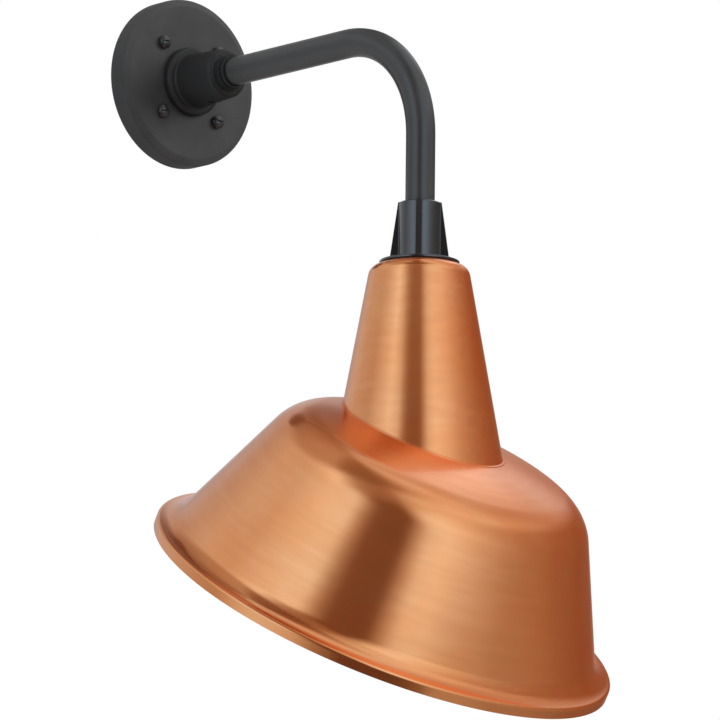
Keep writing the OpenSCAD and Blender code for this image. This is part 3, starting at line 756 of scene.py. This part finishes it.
hem = [(RIM, DEPTH), (RIM - 2 * SHEET, DEPTH), (RIM - 2 * SHEET, DEPTH - HEM), (RIM - SHEET, DEPTH - HEM)]
skirt = placed(turned(skirt_line(0) + hem + skirt_line(SHEET)[::-1], 192), SKIRT_CENTRE, SKIRT_TURN)
plug_line = [(0, PLUG_TOP), (neck_width(PLUG_TOP, 0.1), PLUG_TOP),
             (neck_width(NECK_LENGTH, 0.1), NECK_LENGTH), (0, NECK_LENGTH)]
plug = placed(turned(plug_line, 160), SEAT, DOWN)
carve(skirt, plug)
settle(skirt, "spun_skirt", (0, 0, 0), (0, 0, 0), "shade", "shade_skirt", finishes["shade_skirt"])

# %% [markdown]
# ## The lip at the joint
#
# Neck and skirt are spun apart and meet in an oval line. The skirt's opening is turned up a little against
# the neck, and this thin lip shows in the photograph as a light line beside a dark one. It is what two
# lathe shapes share: a thin shell over the crown, and a sleeve round the neck. Each follows its own axis.

# %% Make the lip
shell_line = (bow(crown_centre, CROWN + 0.45, -90, -76, 40) +
              bow(crown_centre, CROWN - 0.4, -76, -90, 40))
crown_shell = placed(turned(shell_line, 160), SKIRT_CENTRE, SKIRT_TURN)
sleeve_corners = ((90, 0.1), (190, 0.1), (190, 1.4), (90, 1.4), (90, 0.1))
sleeve_line = [(neck_width(depth, gap), depth) for depth, gap in sleeve_corners]
sleeve = placed(turned(sleeve_line, 160), SEAT, DOWN)
lip = carve(crown_shell, sleeve, "INTERSECT")
soften(lip, 0.2, 40, 2)
settle(lip, "joint_lip", (0, 0, 0), (0, 0, 0), "shade", None, finishes["shade_skirt"])

# %% [markdown]
# ## Rolled threads
#
# The bulb's base and the shell that holds it are thin sheet, with the thread rolled into them, so the same
# wave shows inside and outside. The waves are drawn as half circles of the standard pitch, about seven to
# the inch, and spun; both walls of the sheet follow them.

# %% Roll the two threads
PITCH, WALL = 3.63, 0.35


def wave(start, count, middle, swing, fine=10):
    """Points of a rolled thread from a depth on: a wave about a middle radius."""
    return [(middle + swing * math.cos(2 * math.pi * i / fine), start + PITCH * i / fine)
            for i in range(fine * count + 1)]


def rolled(outside):
    """A sheet whose outside is the line, closed by the same line one wall further in."""
    return outside + [(r - WALL, z) for r, z in reversed(outside)] + [outside[0]]


base_line = ([(10.2, 35.6), (11.6, 35.7), (12.3, 36.3)] + wave(37.4, 4, 12.62, 0.40) +
             [(13.02, 53.4), (13.03, 57.9)])
settle(turned(rolled(base_line), 72), "bulb_thread", SEAT, DOWN, "bulb", "bulb_base",
       nickel)
socket_line = ([(7.4, 30.1), (13.6, 30.1), (14.1, 30.6), (14.15, 32.0)] + wave(33.0, 6, 13.85, 0.30) +
               [(14.15, 56.2), (14.18, 57.05)])
settle(turned(rolled(socket_line), 72), "shell_thread", SEAT, DOWN, "shade", "screw_shell", brass)

# %% [markdown]
# ## Chamfered nuts
#
# A nut is cut from six-sided bar, and the lathe then takes off its corners in a shallow cone on both faces.
# So it is what a six-sided prism and a turned disc with sloping shoulders share.


# %% Cut the two lock nuts
def nut(flats, height, bore):
    corner = flats / math.sqrt(3)
    disc = turned([(bore, 0), (flats / 2 - 0.2, 0), (corner + 0.2, 1.3), (corner + 0.2, height - 1.3),
                   (flats / 2 - 0.2, height), (bore, height), (bore, 0)], 72)
    bpy.ops.object.select_all(action="DESELECT")
    bpy.ops.mesh.primitive_cylinder_add(vertices=6, radius=corner * MM, depth=4 * height * MM)
    return soften(carve(disc, bpy.context.object, "INTERSECT"), 0.12, 25, 2)


settle(nut(27, 5.5, 10.75), "arm_nut", (0, -10 * MM, 0), AWAY, "wall_arm", "arm_lock_nut",
       zinc)
settle(nut(32, 5.5, 11.1), "shade_nut", (SEAT[0], SEAT[1], SEAT[2] - 2.6 * MM), DOWN, "shade", "cap_lock_nut",
       zinc)

# %% [markdown]
# ## Putting the finishes on
#
# Each CAD node that still shows gets its finish in place of the plain colour that it came with.

# %% Dress the CAD nodes
for name, node in nodes.items():
    for slot in node.material_slots:
        slot.material = finishes[name]
print("dressed:", len(nodes))
